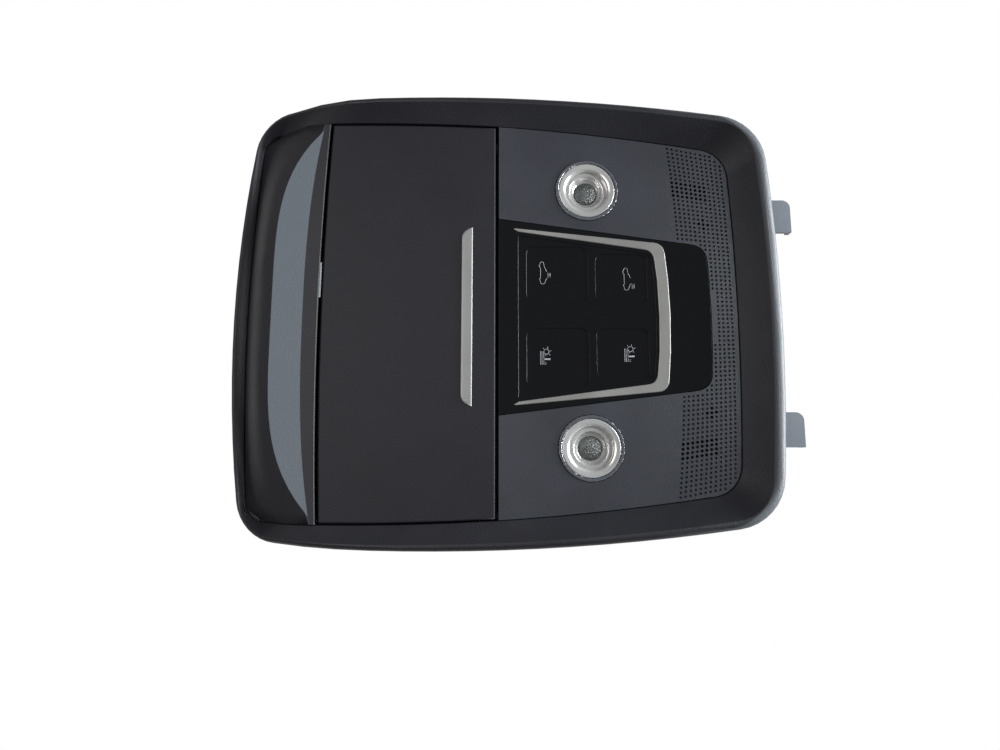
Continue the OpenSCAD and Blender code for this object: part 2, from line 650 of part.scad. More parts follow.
// Microphones on the board, each under a soft boot that leads to the open holes
mic_x = column_x + 5.2;
mic_y = 28.5 * row_pitch;
module microphone(side) {
    color([0.75, 0.7, 0.5]) translate([mic_x, side * mic_y, board_top]) difference() {
        translate([-2.2, -1.6, 0]) cube([4.4, 3.2, 1.2]);
        cylinder(h = 5, r = 0.4);
    }
}
module mic_boot(side) {
    color([0.1, 0.1, 0.1]) difference() {
        lamp_plane() translate([mic_x, side * mic_y, -panel_t - 10]) linear_extrude(10) difference() {
            square([19.6, 13], center = true);
            square([16.8, 10.2], center = true);
        }
        translate([mic_x - 15, side * mic_y - 10, board_top - 10]) cube([30, 20, 10]);
    }
}

// Compartment: lid, satin strip, bin and its pad swing together about the hinge axis
function lid_line(inset = 0) =
    let (g = lid_gap + inset, right = -part_gap / 2 - inset, yl = open_y(end_gap_bow - end_gap_x, g), left = gap_x(yl, 1) + inset)
    let (end = [for (k = [-6:6]) let (y = k / 6 * yl) [gap_x(y, 1) + inset, y]],
         side = [for (k = [1:8]) let (x = left + (right - left) * k / 8) [x, open_y(x, g)]])
    concat(end, side, [for (i = [len(side) - 1:-1:0]) [side[i].x, -side[i].y]]);
strip_sink = 0.4;
function strip_line(inset) =
    let (x1 = -part_gap / 2 - strip_edge - inset, x0 = x1 - strip_width + 2 * inset, h = strip_len / 2 - inset * 2,
         b = bend([x0, h - 5.6], [x0, h - 1.4], [x1, h], 5))
    concat(b, [for (i = [len(b) - 1:-1:0]) [b[i].x, -b[i].y]]);

module lid() {
    color([0.22, 0.22, 0.23]) difference() {
        skin([for (q = [[0, -panel_t], [0, -0.8], [0.25, -0.25], [0.8, 0]])
            at_height(lid_line(q[0]), face_z + q[1])]);
        translate([0, 0, face_z - strip_sink]) linear_extrude(1) polygon(strip_line(-0.05));
    }
}
module lid_strip() {
    color([0.68, 0.68, 0.67]) skin([at_height(strip_line(0), face_z - strip_sink),
                                    at_height(strip_line(0), face_z + 0.15),
                                    at_height(strip_line(0.7), face_z + 0.55)]);
}

// A flat shape drawn in X and Z about the hinge axis, thick along Y
module on_hinge(y0, y1) {
    translate([-hinge_x, y1, hinge_z]) rotate([90, 0, 0]) linear_extrude(y1 - y0) children();
}
floor_top = hinge_depth - panel_t;
module bin_side() {
    intersection() {
        circle(bin_r, $fn = 200);
        polygon([[-bin_back, floor_top], [bin_r, floor_top], [bin_r, -bin_depth], [18, -bin_depth], [-bin_back, -18]]);
    }
}

// Involute gear: half angle of a tooth at a radius, and the outline of one tooth
pressure = 20;
function involute(base, r) = let (a = acos(min(1, base / r))) tan(a) * 180 / PI - a;
function tooth(teeth, shift, mid) =
    let (pitch = gear_m * teeth / 2, base = pitch * cos(pressure),
         half = (gear_m * (PI / 2 + 2 * shift * tan(pressure)) - backlash) / 2 / pitch * 180 / PI,
         root = pitch + gear_m * (shift - 1.25), tip = pitch + gear_m * (shift + 1),
         side = [for (r = [root, max(root + 0.01, base), pitch, pitch + gear_m * 0.5 + shift * gear_m * 0.5, tip])
                    [r, half + involute(base, pitch) - involute(base, r)]])
    concat([for (q = side) q[0] * [cos(mid - q[1]), sin(mid - q[1])]],
           [for (i = [4:-1:0]) side[i][0] * [cos(mid + side[i][1]), sin(mid + side[i][1])]]);
gear_gap = gear_m * (sector_teeth + gear_teeth) / 2;
sector_first = -8;
sector_last = 1;
module sector() {
    polygon(concat([[0, 0]], [for (k = [sector_first:sector_last])
        each tooth(sector_teeth, -gear_shift, damper_angle + k * 360 / sector_teeth)]));
}
module gear() {
    polygon([for (k = [0:gear_teeth - 1])
        each tooth(gear_teeth, gear_shift, damper_angle + 180 + (k + 0.5) * 360 / gear_teeth)]);
}

striker_x = hinge_x - 5.2;
rim_x = hinge_x - 2.5;
module bin() {
    color([0.16, 0.16, 0.17]) difference() {
        union() {
            difference() {
                on_hinge(-bin_half, bin_half) bin_side();
                on_hinge(-bin_half + bin_wall, bin_half - bin_wall) intersection() {
                    circle(bin_r - bin_wall, $fn = 200);
                    translate([bin_wall - bin_back, -bin_r]) square([2 * bin_r, bin_r + floor_top - bin_wall]);
                }
            }
            on_hinge(bin_half - 1, bin_half + sector_w) sector();
            for (s = [0, 1]) mirror([0, s, 0]) on_hinge(bin_half - 1, bin_half + sector_w) circle(hub_r);
        }
        on_hinge(-bin_half - 5, bin_half + 5) circle(pin_r + run_clear);
    }
}
// Foot under the lid's free edge with the tongue that enters the latch
module striker() {
    color([0.14, 0.14, 0.15]) {
        on_hinge(-12, 12) translate([bin_r + 0.3, floor_top - bin_wall]) square([rim_x - bin_r - 0.3, bin_wall]);
        on_hinge(-3, 3) translate([striker_x, floor_top - bin_wall - striker_len])
            square([striker_w, striker_len + 1]);
    }
}
module bin_liner() {
    color([0.12, 0.12, 0.12]) translate([-hinge_x - bin_back + bin_wall + 1, 0, face_z - panel_t - bin_wall - liner_t])
        linear_extrude(liner_t) translate([0, 1 - bin_half + bin_wall])
            square([bin_back + bin_r - 2 * bin_wall - 2, 2 * (bin_half - bin_wall - 1)]);
}
module hinge_pin(side) {
    color([0.7, 0.7, 0.72]) mirror([0, side < 0 ? 1 : 0, 0]) {
        on_hinge(bin_half - bin_wall + 0.5, well_half) circle(pin_r);
        on_hinge(well_half, well_half + 1) circle(2 * pin_r);
    }
}

// Damper: a gear on a shaft that turns in a round body on the well's side wall
damper_y = ear_in - 0.1;
module on_damper(y0, y1) {
    on_hinge(y0, y1) translate(gear_gap * [cos(damper_angle), sin(damper_angle)]) children();
}
module damper_body() {
    color([0.2, 0.2, 0.22]) difference() {
        union() {
            on_damper(damper_y, well_inner) circle(damper_r);
            on_damper(well_inner - 1.5, well_inner) {
                square([2 * damper_r + 4 * damper_ear_r, 2 * damper_ear_r], center = true);
                for (s = [-1, 1]) translate([s * (damper_r + 2 * damper_ear_r), 0]) circle(damper_ear_r);
            }
        }
        on_damper(damper_y - 1, well_inner - 1.2) circle(shaft_r + run_clear);
    }
}
module damper_gear() {
    color([0.85, 0.85, 0.82]) {
        on_hinge(bin_half + 0.35, bin_half + sector_w)
            translate(gear_gap * [cos(damper_angle), sin(damper_angle)]) gear();
        on_damper(bin_half + sector_w - 0.5, well_inner - 1.6) circle(shaft_r);
    }
}

// Push latch on the deck under the lid's free edge
mouth_x0 = striker_x - hinge_x - latch_play;
mouth_x1 = mouth_x0 + striker_w + 2 * latch_play;
mouth_mid = (mouth_x0 + mouth_x1) / 2;
latch_top = deck_z + latch_h;
latch_floor = 1.2;
module latch_housing() {
    x0 = mouth_x0 - latch_wall;
    wide = mouth_x1 + latch_wall - x0;
    half = latch_half + latch_wall;
    color([0.12, 0.12, 0.13]) difference() {
        union() {
            translate([x0, -half, deck_z]) cube([wide, 2 * half, latch_h]);
            translate([x0, -latch_half - latch_foot, deck_z]) cube([wide, 2 * (latch_half + latch_foot), 1.6]);
        }
        translate([mouth_x0, -latch_half, deck_z + latch_floor])
            cube([mouth_x1 - mouth_x0, 2 * latch_half, latch_h]);
        for (s = [-1, 1]) translate([mouth_mid, s * (latch_half + latch_foot - 3), deck_z - 1]) cylinder(h = 5, r = 1.3);
    }
}
module latch_plunger() {
    g = 0.3;
    base = deck_z + latch_floor + latch_travel + g;
    color([0.8, 0.8, 0.78]) difference() {
        translate([mouth_x0 + g, -latch_half + g, base])
            cube([mouth_x1 - mouth_x0 - 2 * g, 2 * (latch_half - g), latch_top - 0.5 - base]);
        translate([mouth_x0 - 1, -3.6, base + 1.5]) cube([10, 7.2, latch_h]);
    }
}
bumper_at = [-4, 70];
bumper_r = 3.2;
bumper_z = deck_z + 10;
module bumper(side) {
    color([0.08, 0.08, 0.08]) translate([bumper_at.x, side * bumper_at.y, bumper_z]) {
        cylinder(h = under_face - 0.3 - bumper_z, r = bumper_r);
        translate([0, 0, -4]) cylinder(h = 5, r = 1.5);
    }
}

// Screws from behind through the deck into the lamp panel's posts
deck_t = carrier_wall;
module screw(k) {
    p = screw_places[k];
    color([0.6, 0.6, 0.62]) translate([p.x, p.y, deck_z - deck_t]) difference() {
        union() {
            translate([0, 0, -1.8]) cylinder(h = 1.8, r = 3);
            cylinder(h = deck_t + 7, r = screw_r);
        }
        for (a = [0, 90]) rotate(a) translate([-1.6, -0.35, -2]) cube([3.2, 0.7, 1.2]);
    }
}

// Carrier: deck, compartment well, hinge ears, hooks, feet, clip towers and ribs
well_x0 = -hinge_x - 12;
well_x1 = -hinge_x + bin_r + 3;
clip_x = -104;
clip_y = 62;
foot_x = 98;
foot_y = 62;
tower_z = 7;
rib_z = deck_z - carrier_wall - rib_h;
rib_y = open_half - 7.9;
module rounded(x0, x1, half, r) {
    translate([x0 + r, -half]) square([x1 - x0 - 2 * r, 2 * half]);
    translate([x0, -half + r]) square([x1 - x0, 2 * half - 2 * r]);
    for (x = [x0 + r, x1 - r], s = [-1, 1]) translate([x, s * (half - r)]) circle(r);
}
module well_wall() {
    polygon([[-4.5, deck_z - hinge_z - 1], [-3, 0], [3, 0], [8, -3], [56, -3], [58.5, -6],
             [58.5, deck_z - hinge_z - 1]]);
}
module ear() {
    circle(hub_r - 0.2);
    polygon([[0.2 - hub_r, 0], [hub_r - 0.2, 0], [hub_r - 0.2, -24], [0.2 - hub_r, -16]]);
}
module hook() {
    top = face_z - hook_depth;
    x0 = 117;
    r = 4;
    translate([0, 0, top - 2]) linear_extrude(2) {
        translate([x0, -hook_w / 2]) square([hook_reach - x0 - r, hook_w]);
        translate([x0, -hook_w / 2]) square([hook_reach - x0, hook_w - r]);
        translate([hook_reach - r, hook_w / 2 - r]) circle(r);
    }
    translate([x0, -hook_w / 2, deck_z - 1]) cube([2, hook_w, top - deck_z + 1]);
    for (y = [-hook_w / 2 + 1, hook_w / 2 - 3]) translate([0, y + 2, 0]) rotate([90, 0, 0]) linear_extrude(2)
        polygon([[x0, deck_z - 1], [x0 + 9, deck_z - 1], [x0 + 20, top - 1], [x0, top - 1]]);
    translate([hook_reach - 2, -hook_w / 2, top - 4]) cube([2, hook_w - r, 3]);
}
module carrier() {
    color([0.5, 0.53, 0.56]) difference() {
        union() {
            translate([0, 0, deck_z - deck_t]) linear_extrude(deck_t) polygon(outline(rim_line, deck_inset));
            linear_extrude(deck_z - 0.5) rounded(well_x0, well_x1, well_half, 6);
            for (s = [0, 1]) mirror([0, s, 0]) {
                on_hinge(well_inner, well_half) well_wall();
                on_hinge(ear_in, well_half) ear();
                translate([bumper_at.x, bumper_at.y, deck_z - 1]) cylinder(h = bumper_z - deck_z + 1, r = bumper_r);
                translate([foot_x, foot_y, pad_t]) cylinder(h = deck_z - 1 - pad_t, r = foot_r);
                for (y = [42, rib_y]) translate([well_x1 - 1, y - rib_t / 2, rib_z])
                    cube([board_reach + 3 - well_x1, rib_t, rib_h + 1]);
                translate([5 - open_left, 30, rib_z]) cube([open_left + well_x0 - 4, rib_t, rib_h + 1]);
                translate([clip_x - 1.5, clip_y - clip_w / 2 - 1, tower_z]) cube([3, clip_w + 2, deck_z - 1 - tower_z]);
                translate([clip_x - 6, clip_y - rib_t / 2, tower_z + 14]) cube([12, rib_t, deck_z - 15 - tower_z]);
            }
            for (s = [-1, 1]) translate([0, s * hook_y, 0]) hook();
            for (x = [28, 84]) translate([x, -rib_y, rib_z]) cube([rib_t, 2 * rib_y, rib_h + 1]);
            for (p = stake_places) translate([p.x, p.y, deck_z - 1]) {
                cylinder(h = board_lift + 1, r = 3);
                cylinder(h = board_lift + 1 + board_t + 1, r = stake_r);
                translate([0, 0, board_lift + 1 + board_t]) cylinder(h = 1, r = 2);
            }
            translate([-end_gap_x - 2.7, 13, deck_z - 1]) cube([2, 18, 14.5]);
            cylinder(h = deck_z - 1, r = foot_r + 1);
        }
        translate([0, 0, floor_t]) linear_extrude(60)
            rounded(well_x0 + carrier_wall, well_x1 - carrier_wall, ear_in, 4);
        difference() {
            translate([0, 0, floor_t]) linear_extrude(deck_z)
                rounded(well_x0 + carrier_wall, well_x1 - carrier_wall, well_inner, 4);
            for (s = [0, 1]) mirror([0, s, 0]) on_hinge(bin_half, well_half) ear();
        }
        on_hinge(-well_half - 1, well_half + 1) circle(pin_r);
        for (s = [-1, 1]) {
            translate([-45, s * fix_y, -1]) cylinder(h = 10, r = fix_r);
            translate([foot_x, s * foot_y, pad_t - 1]) cylinder(h = deck_z - deck_t - pad_t, r = foot_r - 2);
            translate([bumper_at.x, s * bumper_at.y, bumper_z - 5]) cylinder(h = 6, r = 1.5);
        }
        for (p = screw_places) translate([p.x, p.y, 0]) cylinder(h = 60, r = screw_r + 0.2);
        translate([socket_at.x, socket_at.y, deck_z]) cube([socket_len + 3.4, socket_w + 3.4, 30], center = true);
    }
}
module foot_pad(side) {
    color([0.1, 0.1, 0.1]) translate([foot_x, side * foot_y, 0]) cylinder(h = pad_t, r = foot_r);
}

// Spring clip: a steel strip folded over the tower's end, with a barb on each side
module roof_clip(side) {
    t = 0.6;
    a = 1.5;
    h = tower_z;
    leg = [[a, h - t], [a + 3.6, h + 5], [a + 0.9, h + 9], [a + t, h + 13], [a, h + 13], [a + 0.2, h + 9],
           [a + 2.9, h + 5], [a, h]];
    color([0.55, 0.56, 0.58]) translate([clip_x, side * clip_y + clip_w / 2, 0]) rotate([90, 0, 0])
        linear_extrude(clip_w) polygon(concat(leg, [for (i = [len(leg) - 1:-1:0]) [-leg[i].x, leg[i].y]]));
}

bezel();
end_panel();
lamp_panel();
touch_panel();
touch_trim();
light_guide();
main_board();
touch_chip();
connector();
carrier();
lamp_ring(1);  // lamp_ring_upper
lamp_chrome(1);  // lamp_chrome_upper
lamp_dish(1);  // lamp_dish_upper
lamp_lens(1);  // lamp_lens_upper
lamp_housing(1);  // lamp_housing_upper
led(1);  // led_upper
lamp_ring(-1);  // lamp_ring_lower
lamp_chrome(-1);  // lamp_chrome_lower
lamp_dish(-1);  // lamp_dish_lower
lamp_lens(-1);  // lamp_lens_lower
lamp_housing(-1);  // lamp_housing_lower
led(-1);  // led_lower
microphone(1);  // microphone_upper
microphone(-1);  // microphone_lower
mic_boot(1);  // mic_boot_upper
mic_boot(-1);  // mic_boot_lower
lid();
lid_strip();
bin();
bin_liner();
striker();
hinge_pin(1);  // hinge_pin_upper
hinge_pin(-1);  // hinge_pin_lower
damper_body();
damper_gear();
latch_housing();
latch_plunger();
bumper(1);  // bumper_upper
bumper(-1);  // bumper_lower
screw(0);  // screw_1
screw(1);  // screw_2
screw(2);  // screw_3
screw(3);  // screw_4
foot_pad(1);  // foot_pad_upper
foot_pad(-1);  // foot_pad_lower
roof_clip(1);  // roof_clip_upper
roof_clip(-1);  // roof_clip_lower
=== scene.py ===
import json
from math import cos, radians, sin, tan

import bmesh
import bpy
from mathutils import Matrix, Vector


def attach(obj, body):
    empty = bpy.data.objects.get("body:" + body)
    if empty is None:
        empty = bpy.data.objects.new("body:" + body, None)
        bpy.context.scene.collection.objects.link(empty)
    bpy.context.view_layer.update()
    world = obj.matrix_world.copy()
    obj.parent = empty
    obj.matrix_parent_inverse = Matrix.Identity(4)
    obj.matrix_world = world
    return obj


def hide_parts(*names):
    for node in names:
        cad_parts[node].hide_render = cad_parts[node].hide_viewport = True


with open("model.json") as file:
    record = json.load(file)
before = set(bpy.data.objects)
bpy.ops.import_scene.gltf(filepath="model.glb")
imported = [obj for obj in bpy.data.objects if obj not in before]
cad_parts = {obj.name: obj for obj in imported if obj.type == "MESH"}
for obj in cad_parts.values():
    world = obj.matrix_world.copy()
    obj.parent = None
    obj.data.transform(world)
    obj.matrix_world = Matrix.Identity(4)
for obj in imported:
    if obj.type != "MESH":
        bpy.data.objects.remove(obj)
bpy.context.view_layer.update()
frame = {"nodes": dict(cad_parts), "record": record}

# ROOM
# The console lies face up on a white sweep table, photographed from nearly overhead.
# Soft window light comes from the lamp side, with weak fill from above the other end.
mm = 0.001
camera_data = bpy.data.cameras.new("camera")
camera_data.lens = 23.04
camera_data.sensor_width = 36
camera_data.shift_x = 0.0034
camera_data.shift_y = -0.0043
camera_data.clip_start = 0.01
camera = bpy.data.objects.new("camera", camera_data)
bpy.context.scene.collection.objects.link(camera)
bpy.context.scene.camera = camera
look = Vector((-0.01405, 0.14361, -0.98954)).normalized()
across = Vector((0.9999, 0.00143, -0.01399))
above = across.cross(look).normalized()
across = look.cross(above).normalized()
tripod = Vector((3.92, -68.45, 336.98)) * mm
turn = Matrix((across, above, -look)).transposed().to_4x4()
camera.matrix_world = Matrix.Translation(tripod) @ turn

bpy.ops.object.select_all(action="DESELECT")
bpy.ops.mesh.primitive_plane_add(size=8, location=(0, 0, -0.0004))
table = bpy.context.object
table.name = "table"
paper = bpy.data.materials.new("white_paper")
paper.use_nodes = True
nodes, links = paper.node_tree.nodes, paper.node_tree.links
shader = nodes["Principled BSDF"]
shader.inputs["Base Color"].default_value = (0.86, 0.86, 0.87, 1)
shader.inputs["Roughness"].default_value = 0.9
shader.inputs["Specular IOR Level"].default_value = 0.1
glow = nodes.new("ShaderNodeEmission")
glow.inputs["Color"].default_value = (1, 1, 1, 1)
glow.inputs["Strength"].default_value = 1
ray = nodes.new("ShaderNodeLightPath")
seen = nodes.new("ShaderNodeMath")
seen.operation = "MAXIMUM"
links.new(ray.outputs["Is Camera Ray"], seen.inputs[0])
links.new(ray.outputs["Is Glossy Ray"], seen.inputs[1])
seen_too = nodes.new("ShaderNodeMath")
seen_too.operation = "MAXIMUM"
links.new(seen.outputs[0], seen_too.inputs[0])
links.new(ray.outputs["Is Transmission Ray"], seen_too.inputs[1])
blend = nodes.new("ShaderNodeMixShader")
links.new(seen_too.outputs[0], blend.inputs["Fac"])
links.new(shader.outputs["BSDF"], blend.inputs[1])
links.new(glow.outputs[0], blend.inputs[2])
links.new(blend.outputs[0], nodes["Material Output"].inputs["Surface"])
table.data.materials.append(paper)


face_middle = Vector((0, 0, 0.03))


def soft_light(name, place, size, power, tint):
    """A rectangular area light that points at the middle of the console."""
    data = bpy.data.lights.new(name, "AREA")
    data.shape = "RECTANGLE"
    data.size, data.size_y = size
    data.energy = power
    data.color = tint
    lamp = bpy.data.objects.new(name, data)
    bpy.context.scene.collection.objects.link(lamp)
    way = face_middle - Vector(place)
    turn = way.to_track_quat("-Z", "Y").to_matrix().to_4x4()
    lamp.matrix_world = Matrix.Translation(place) @ turn


soft_light("window", (1.15, 0.2, 0.5), (0.9, 0.6), 22, (0.9, 0.95, 1))
soft_light("low_window", (1.2, 0.1, 0.16), (0.7, 0.2), 28, (0.9, 0.96, 1))
soft_light("skylight", (1.0, 0.3, 0.85), (0.4, 0.5), 8, (0.9, 0.96, 1))
soft_light("far_lamp", (-0.6, 0.2, 1.2), (0.8, 0.8), 7.5, (1, 0.95, 0.97))

world = bpy.data.worlds.new("room")
bpy.context.scene.world = world
world.use_nodes = True
nodes, links = world.node_tree.nodes, world.node_tree.links
nodes["Background"].inputs["Color"].default_value = (0.9, 0.95, 1, 1)
nodes["Background"].inputs["Strength"].default_value = 0.2
backdrop = nodes.new("ShaderNodeBackground")
backdrop.inputs["Color"].default_value = (1, 1, 1, 1)
backdrop.inputs["Strength"].default_value = 1
ray = nodes.new("ShaderNodeLightPath")
either = nodes.new("ShaderNodeMixShader")
links.new(ray.outputs["Is Camera Ray"], either.inputs["Fac"])
links.new(nodes["Background"].outputs[0], either.inputs[1])
links.new(backdrop.outputs[0], either.inputs[2])
links.new(either.outputs[0], nodes["World Output"].inputs["Surface"])
bpy.context.scene.view_settings.view_transform = "Standard"


# BEZEL
# The frame round the face: one injection moulding in dark grained plastic, with a
# rounded lip that meets the headliner and a flange that stands on the carrier. Along
# the hooks' side the lip has a painted sheen: a lighter grey painted in for side light.
def grain_group():
    """Fine leather-like mould grain: a height and a light-dark mask."""
    group = bpy.data.node_groups.new("mould_grain", "ShaderNodeTree")
    face = group.interface
    face.new_socket("Vector", in_out="INPUT", socket_type="NodeSocketVector")
    face.new_socket("Cells per metre", in_out="INPUT", socket_type="NodeSocketFloat")
    face.new_socket("Height", in_out="OUTPUT", socket_type="NodeSocketFloat")
    face.new_socket("Mask", in_out="OUTPUT", socket_type="NodeSocketFloat")
    n, k = group.nodes, group.links
    start, end = n.new("NodeGroupInput"), n.new("NodeGroupOutput")
    cells = n.new("ShaderNodeTexVoronoi")
    cells.feature = "SMOOTH_F1"
    cells.inputs["Smoothness"].default_value = 0.6
    fine = n.new("ShaderNodeTexNoise")
    fine.inputs["Detail"].default_value = 3
    twice = n.new("ShaderNodeMath")
    twice.operation = "MULTIPLY"
    twice.inputs[1].default_value = 2.3
    cloud = n.new("ShaderNodeTexNoise")
    cloud.inputs["Scale"].default_value = 35
    cloud.inputs["Detail"].default_value = 4
    add = n.new("ShaderNodeMath")
    add.operation = "ADD"
    k.new(start.outputs["Vector"], cells.inputs["Vector"])
    k.new(start.outputs["Cells per metre"], cells.inputs["Scale"])
    k.new(start.outputs["Vector"], fine.inputs["Vector"])
    k.new(start.outputs["Cells per metre"], twice.inputs[0])
    k.new(twice.outputs[0], fine.inputs["Scale"])
    k.new(start.outputs["Vector"], cloud.inputs["Vector"])
    k.new(cells.outputs["Distance"], add.inputs[0])
    k.new(fine.outputs["Fac"], add.inputs[1])
    k.new(add.outputs[0], end.inputs["Height"])
    k.new(cloud.outputs["Fac"], end.inputs["Mask"])
    return group


mould_grain = grain_group()


def moulded(name, dark, light, rough, gloss=0.4, cells=1400, depth=0.06,
            metallic=0.0, spread=0.06):
    """Grained plastic or satin paint: colour drifts a little, roughness follows the same clouds."""
    made = bpy.data.materials.new(name)
    made.use_nodes = True
    n, k = made.node_tree.nodes, made.node_tree.links
    skin = n["Principled BSDF"]
    skin.inputs["Specular IOR Level"].default_value = gloss
    skin.inputs["Metallic"].default_value = metallic
    place = n.new("ShaderNodeTexCoord")
    grain = n.new("ShaderNodeGroup")
    grain.node_tree = mould_grain
    grain.inputs["Cells per metre"].default_value = cells
    k.new(place.outputs["Object"], grain.inputs["Vector"])
    tone = n.new("ShaderNodeValToRGB")
    tone.color_ramp.elements[0].position = 0.3
    tone.color_ramp.elements[0].color = (*dark, 1)
    tone.color_ramp.elements[1].position = 0.7
    tone.color_ramp.elements[1].color = (*light, 1)
    k.new(grain.outputs["Mask"], tone.inputs["Fac"])
    k.new(tone.outputs["Color"], skin.inputs["Base Color"])
    sheen = n.new("ShaderNodeMapRange")
    sheen.inputs["To Min"].default_value = rough - spread
    sheen.inputs["To Max"].default_value = rough + spread
    k.new(grain.outputs["Mask"], sheen.inputs["Value"])
    k.new(sheen.outputs["Result"], skin.inputs["Roughness"])
    bump = n.new("ShaderNodeBump")
    bump.inputs["Strength"].default_value = 1
    bump.inputs["Distance"].default_value = depth * mm
    k.new(grain.outputs["Height"], bump.inputs["Height"])
    k.new(bump.outputs["Normal"], skin.inputs["Normal"])
    return made


def finished(node, material, angle=35, edge=0, steps=2, facing=None):
    """The moulding as it leaves the tool: welded, smooth over its curves, its sharp edges eased."""
    source = frame["nodes"][node]
    piece = source.copy()
    piece.data = source.data.copy()
    piece.name = piece.data.name = node + "_moulding"
    piece.parent = None
    for mark in list(piece.keys()):
        del piece[mark]
    bpy.context.scene.collection.objects.link(piece)
    bpy.ops.object.select_all(action="DESELECT")
    piece.select_set(True)
    bpy.context.view_layer.objects.active = piece
    bpy.ops.object.mode_set(mode="EDIT")
    bpy.ops.mesh.select_all(action="SELECT")
    bpy.ops.mesh.remove_doubles(threshold=0.004 * mm)
    bpy.ops.mesh.dissolve_limited(angle_limit=radians(0.4))
    bpy.ops.object.mode_set(mode="OBJECT")
    if edge:
        ease = piece.modifiers.new("ease", "BEVEL")
        ease.width = edge * mm
        ease.segments = steps
        ease.limit_method = "ANGLE"
        ease.angle_limit = radians(50)
        ease.use_clamp_overlap = True
        bpy.ops.object.modifier_apply(modifier="ease")
    bpy.ops.object.shade_smooth_by_angle(angle=radians(angle))
    if facing:
        shell = bmesh.new()
        shell.from_mesh(piece.data)
        for line in shell.edges:
            if len({face.normal.x > facing for face in line.link_faces}) == 2:
                line.smooth = False
        shell.to_mesh(piece.data)
        shell.free()
    even = piece.modifiers.new("even", "WEIGHTED_NORMAL")
    even.keep_sharp = True
    bpy.ops.object.modifier_apply(modifier="even")
    piece.data.materials.clear()
    piece.data.materials.append(material)
    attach(piece, next(b for b, parts in frame["record"]["behaviour"]["bodies"].items() if node in parts))
    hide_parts(node)


dark_grain = moulded("dark_grain", (0.0102, 0.01, 0.0128), (0.0136, 0.0133, 0.0164), 0.46, 0.34)


def reckon(operation, *values):
    """One Math node of the material in hand, fed with numbers or other nodes' outputs."""
    node = nodes.new("ShaderNodeMath")
    node.operation = operation
    for socket, value in zip(node.inputs, values):
        if isinstance(value, (int, float)):
            socket.default_value = value
        else:
            links.new(value, socket)
    return node.outputs[0]


def clamped(value):
    """Keeps a factor between 0 and 1."""
    return reckon("MAXIMUM", reckon("MINIMUM", value, 1.0), 0.0)


def tinted(factor, below, colour):
    """Lays a colour over what a socket gives, where the factor says so."""
    mix = nodes.new("ShaderNodeMix")
    mix.data_type = "RGBA"
    mix.inputs["B"].default_value = (*colour, 1)
    links.new(factor, mix.inputs["Factor"])
    links.new(below, mix.inputs["A"])
    return mix.outputs["Result"]


nodes, links = dark_grain.node_tree.nodes, dark_grain.node_tree.links
place = nodes.new("ShaderNodeTexCoord")
spot = nodes.new("ShaderNodeSeparateXYZ")
links.new(place.outputs["Object"], spot.inputs["Vector"])
# Painted sheen: the lip along the hooks' side is tinted a lighter grey where side light grazes it.
rim_end, rim_side, rim_corner = 130.8 * mm, 106.9 * mm, 24.5 * mm
end_bow, side_bow = 0.565, 0.5
band_width, band_blur = 6 * mm, 0.8 * mm
fade_start, fade_length = 70 * mm, 45 * mm
lip_painted_sheen_grey = (0.064, 0.069, 0.075)
squared_x = reckon("POWER", spot.outputs["X"], 2.0)
squared_y = reckon("POWER", spot.outputs["Y"], 2.0)
bowed_x = reckon("ADD", spot.outputs["X"], reckon("MULTIPLY", squared_y, end_bow))
bowed_y = reckon("ADD", reckon("ABSOLUTE", spot.outputs["Y"]),
                 reckon("MULTIPLY", squared_x, side_bow))
over_x = reckon("MAXIMUM", reckon("SUBTRACT", bowed_x, rim_end - rim_corner), 0.0)
over_y = reckon("MAXIMUM", reckon("SUBTRACT", bowed_y, rim_side - rim_corner), 0.0)
squares = reckon("ADD", reckon("MULTIPLY", over_x, over_x), reckon("MULTIPLY", over_y, over_y))
inward = reckon("SUBTRACT", reckon("SQRT", squares), rim_corner - band_width)
rim_band = clamped(reckon("DIVIDE", inward, band_blur))
fade = clamped(reckon("DIVIDE", reckon("SUBTRACT", spot.outputs["X"], fade_start), fade_length))
lip = reckon("MULTIPLY", rim_band, fade)
lip_sheen_tone = tinted(lip, nodes["Color Ramp"].outputs["Color"], lip_painted_sheen_grey)
links.new(lip_sheen_tone, nodes["Principled BSDF"].inputs["Base Color"])
finished("bezel", dark_grain, angle=50)

# END PANEL
# The rolled panel at the far end: one moulding with a facet that faces the cabin, a
# sharp crease beside the lid and a surface that rolls down to the bezel; the facet's
# lighter grey is painted light.
# Its edge along the gap is painted nearly black: painted shade from the lid.
end_grain = moulded("end_grain", (0.0102, 0.01, 0.0124), (0.0136, 0.0133, 0.016), 0.5, 0.32)
nodes, links = end_grain.node_tree.nodes, end_grain.node_tree.links
spot = nodes.new("ShaderNodeSeparateXYZ")
place = nodes.new("ShaderNodeTexCoord")
links.new(place.outputs["Object"], spot.inputs["Vector"])
half_width = 92 * mm
crease_middle, crease_swing = -91.0 * mm, 6.6 * mm
crest_middle, crest_swing = -104.4 * mm, 19.8 * mm
gap_middle, gap_swing = -84.6 * mm, 2.5 * mm
facet_blur = 0.25 * mm
# The facet's lighter grey is painted light: it stands in for the window light on the tilted facet.
facet_painted_light_grey, gap_painted_shade = (0.064, 0.072, 0.081), (0.002, 0.002, 0.002)


def curved(middle, swing, power):
    """Where a line across the panel lies in X: straight in the middle, swung off at its ends."""
    return reckon("ADD", reckon("MULTIPLY", reckon("POWER", away, power), swing), middle)


